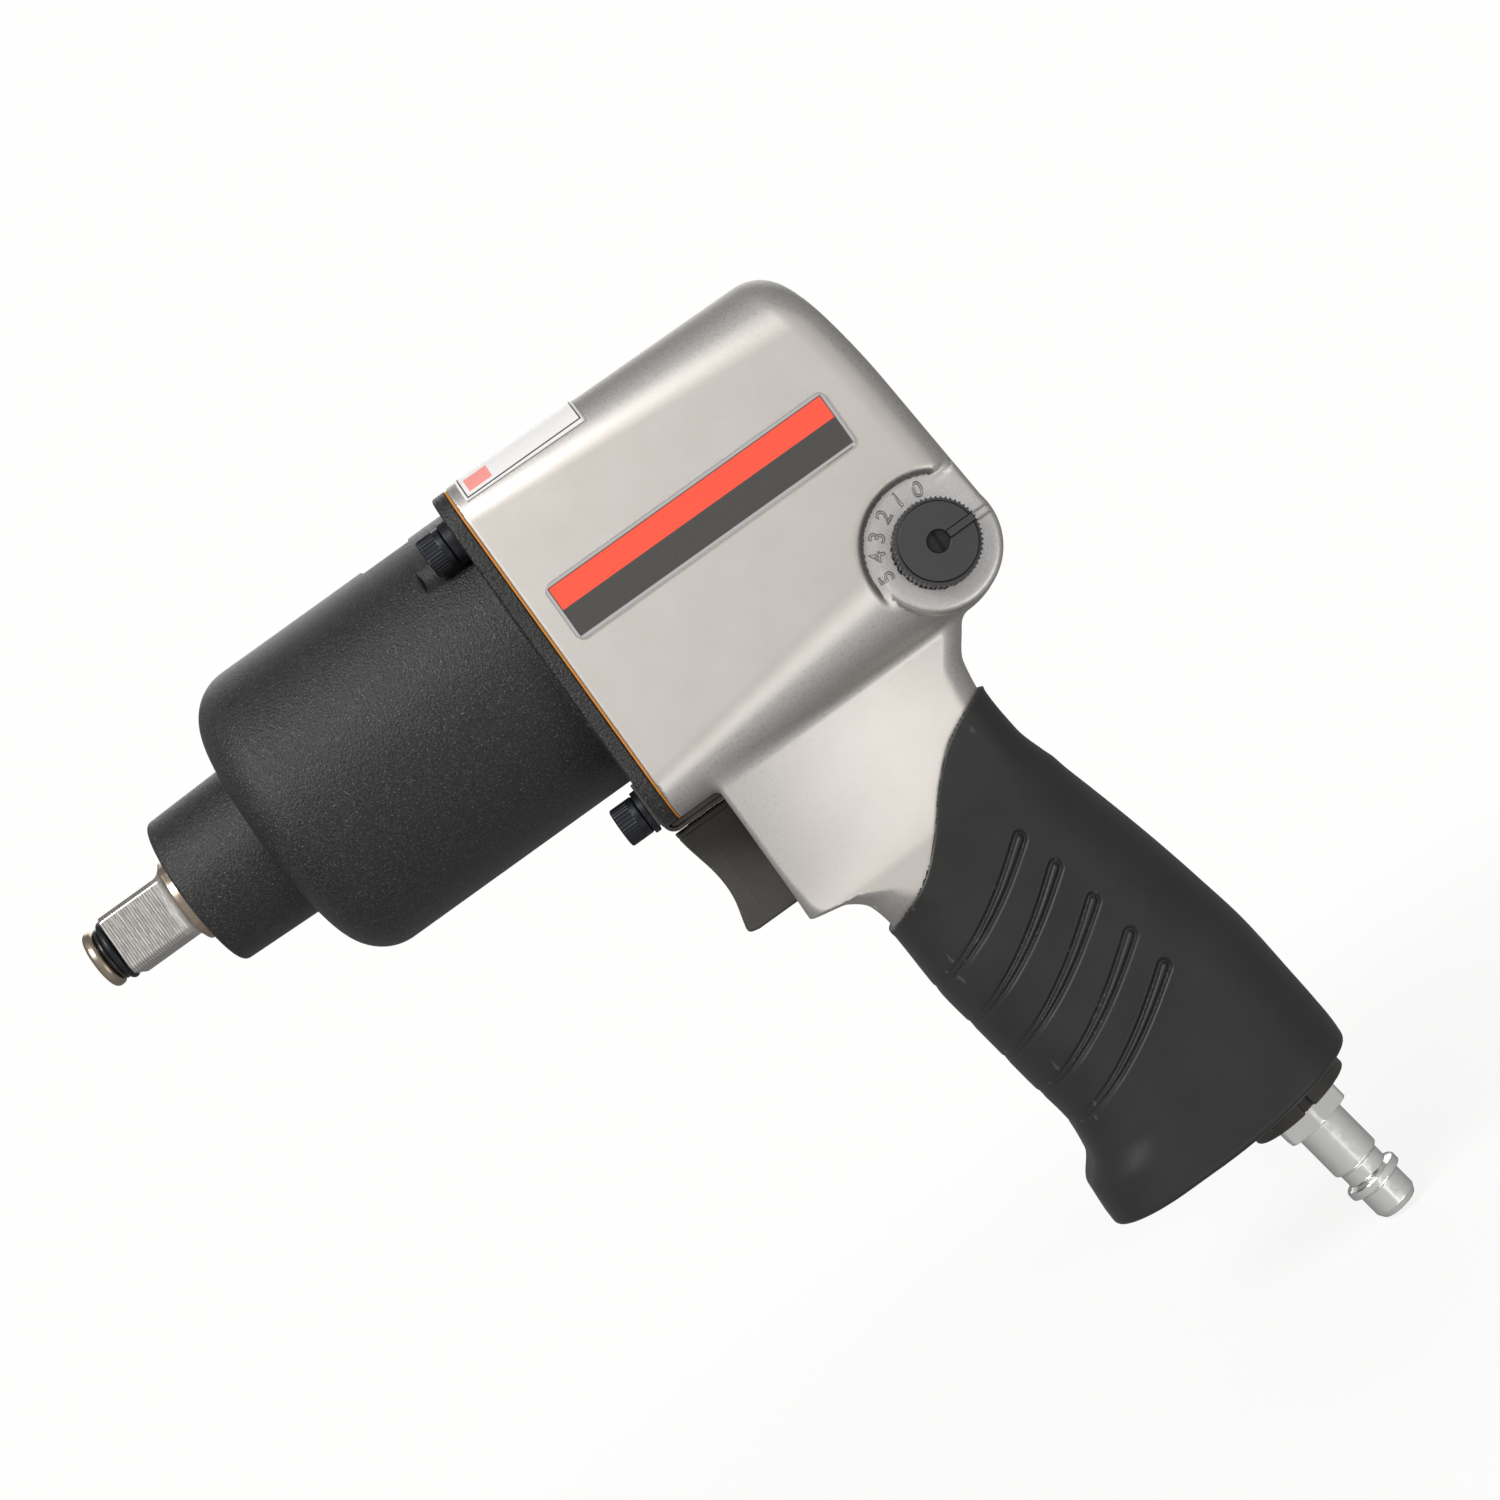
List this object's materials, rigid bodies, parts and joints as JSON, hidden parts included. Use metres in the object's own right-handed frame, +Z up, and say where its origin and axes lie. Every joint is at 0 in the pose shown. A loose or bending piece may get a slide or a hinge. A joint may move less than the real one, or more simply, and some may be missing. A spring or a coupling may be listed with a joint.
{
  "type": "air impact wrench",
  "caption": "Pistol-grip air impact wrench with a half-inch square drive, black hammer case, cast aluminium motor housing, rubber grip, side power regulator and an air plug at the foot.",
  "frame": {"origin": "the centre of the square drive's end face, on the drive axis", "axes": "+X along the drive axis to the rear, so the square drive points along -X; +Z up, away from the handle; the regulator knob faces -Y"},
  "size_m": [0.1876, 0.0812, 0.2167],
  "materials": {
    "cast_aluminium": "die-cast, shot-blasted and lightly polished, warm light grey",
    "black_paint": "fine wrinkle black enamel on a cast case",
    "ground_steel": "ground bright steel",
    "hard_steel": "hardened tool steel, oiled",
    "black_oxide": "black oxide on steel, fine knurl",
    "zinc_plate": "bright zinc plate",
    "bronze": "sintered bronze",
    "grip_rubber": "moulded matt rubber",
    "seal_rubber": "nitrile",
    "black_plastic": "moulded glass-filled nylon, matt",
    "gasket_paper": "oiled gasket paper, orange brown",
    "vane_resin": "cotton phenolic resin",
    "plate_print": "printed aluminium plate, red band over a dark grey band",
    "label_print": "white laminated sticker with a pink panel"
  },
  "bodies": {
    "housing": {"motor_housing": "cast_aluminium", "grip_sleeve": "grip_rubber", "housing_gasket": "gasket_paper", "name_plate": "plate_print", "top_label": "label_print", "hammer_case": "black_paint", "trigger_strap": "hard_steel", "anvil_bushing": "bronze", "frame_washer_front": "hard_steel", "frame_washer_rear": "hard_steel", "cylinder": "hard_steel", "cylinder_dowel": "ground_steel", "front_end_plate": "hard_steel", "rear_end_plate": "hard_steel", "front_rotor_bearing": "ground_steel", "rear_rotor_bearing": "ground_steel", "rear_plate_seal": "gasket_paper", "motor_clamp_washer": "hard_steel", "regulator_bushing": "bronze", "valve_seat": "bronze", "valve_spring": "ground_steel", "trigger_bushing": "bronze", "inlet_bushing": "hard_steel", "inlet_strainer": "zinc_plate", "air_plug": "zinc_plate", "cap_screw_1": "black_oxide", "lock_washer_1": "black_oxide", "cap_screw_2": "black_oxide", "lock_washer_2": "black_oxide", "cap_screw_3": "black_oxide", "lock_washer_3": "black_oxide", "cap_screw_4": "black_oxide", "lock_washer_4": "black_oxide"},
    "anvil": {"anvil": "ground_steel", "socket_retaining_ring": "black_oxide", "retaining_ring_seal": "seal_rubber"},
    "rotor": {"rotor": "hard_steel", "hammer_frame": "hard_steel", "hammer_pin_1": "ground_steel", "hammer_pin_2": "ground_steel"},
    "front_hammer": {"hammer_front": "hard_steel"},
    "rear_hammer": {"hammer_rear": "hard_steel"},
    "trigger": {"trigger": "black_plastic", "trigger_rod": "ground_steel"},
    "tip_valve": {"tip_valve": "seal_rubber"},
    "regulator": {"regulator_valve": "ground_steel", "regulator_seal": "seal_rubber", "regulator_knob": "black_oxide", "knob_screw": "black_oxide", "detent_ball": "ground_steel", "detent_spring": "ground_steel"},
    "deflector": {"exhaust_deflector": "black_plastic"},
    "vane_1": {"vane_1": "vane_resin"},
    "vane_2": {"vane_2": "vane_resin"},
    "vane_3": {"vane_3": "vane_resin"},
    "vane_4": {"vane_4": "vane_resin"},
    "vane_5": {"vane_5": "vane_resin"},
    "vane_6": {"vane_6": "vane_resin"}
  },
  "joints": [
    {"name": "anvil_spin", "type": "hinge", "parent": "housing", "child": "anvil", "pos_m": [0.0172, 0, 0], "axis": [1, 0, 0], "continuous": true},
    {"name": "rotor_spin", "type": "hinge", "parent": "housing", "child": "rotor", "pos_m": [0.1272, 0, 0], "axis": [1, 0, 0], "continuous": true},
    {"name": "front_hammer_swing", "type": "hinge", "parent": "rotor", "child": "front_hammer", "pos_m": [0.0632, 0, 0.0195], "axis": [1, 0, 0], "range_deg": [-4, 4]},
    {"name": "rear_hammer_swing", "type": "hinge", "parent": "rotor", "child": "rear_hammer", "pos_m": [0.0862, 0, -0.0195], "axis": [1, 0, 0], "range_deg": [-4, 4]},
    {"name": "trigger_squeeze", "type": "slide", "parent": "housing", "child": "trigger", "axis": [1, 0, 0], "range_m": [0, 0.0043], "deforming": ["valve_spring"]},
    {"name": "tip_valve_tilt", "type": "hinge", "parent": "housing", "child": "tip_valve", "pos_m": [0.15257, 0, -0.07569], "axis": [0, 1, 0], "range_deg": [0, 12.5]},
    {"name": "regulator_turn", "type": "hinge", "parent": "housing", "child": "regulator", "pos_m": [0.1748, -0.04, -0.0294], "axis": [0, -1, 0], "range_deg": [0, 178]},
    {"name": "deflector_turn", "type": "hinge", "parent": "housing", "child": "deflector", "pos_m": [0.1721, 0, -0.1556], "axis": [0.1599, 0, -0.9871], "continuous": true},
    {"name": "vane_1_slide", "type": "slide", "parent": "rotor", "child": "vane_1", "axis": [0, 0, 1], "range_m": [0, 0.0009]},
    {"name": "vane_2_slide", "type": "slide", "parent": "rotor", "child": "vane_2", "axis": [0, -0.866, 0.5], "range_m": [0, 0.0009]},
    {"name": "vane_3_slide", "type": "slide", "parent": "rotor", "child": "vane_3", "axis": [0, -0.866, -0.5], "range_m": [0, 0.0009]},
    {"name": "vane_4_slide", "type": "slide", "parent": "rotor", "child": "vane_4", "axis": [0, 0, -1], "range_m": [0, 0.0009]},
    {"name": "vane_5_slide", "type": "slide", "parent": "rotor", "child": "vane_5", "axis": [0, 0.866, -0.5], "range_m": [0, 0.0009]},
    {"name": "vane_6_slide", "type": "slide", "parent": "rotor", "child": "vane_6", "axis": [0, 0.866, 0.5], "range_m": [0, 0.0009]}
  ],
  "couplings": [
    {"joint": "tip_valve_tilt", "follows": "trigger_squeeze", "rad_per_m": 49}
  ]
}
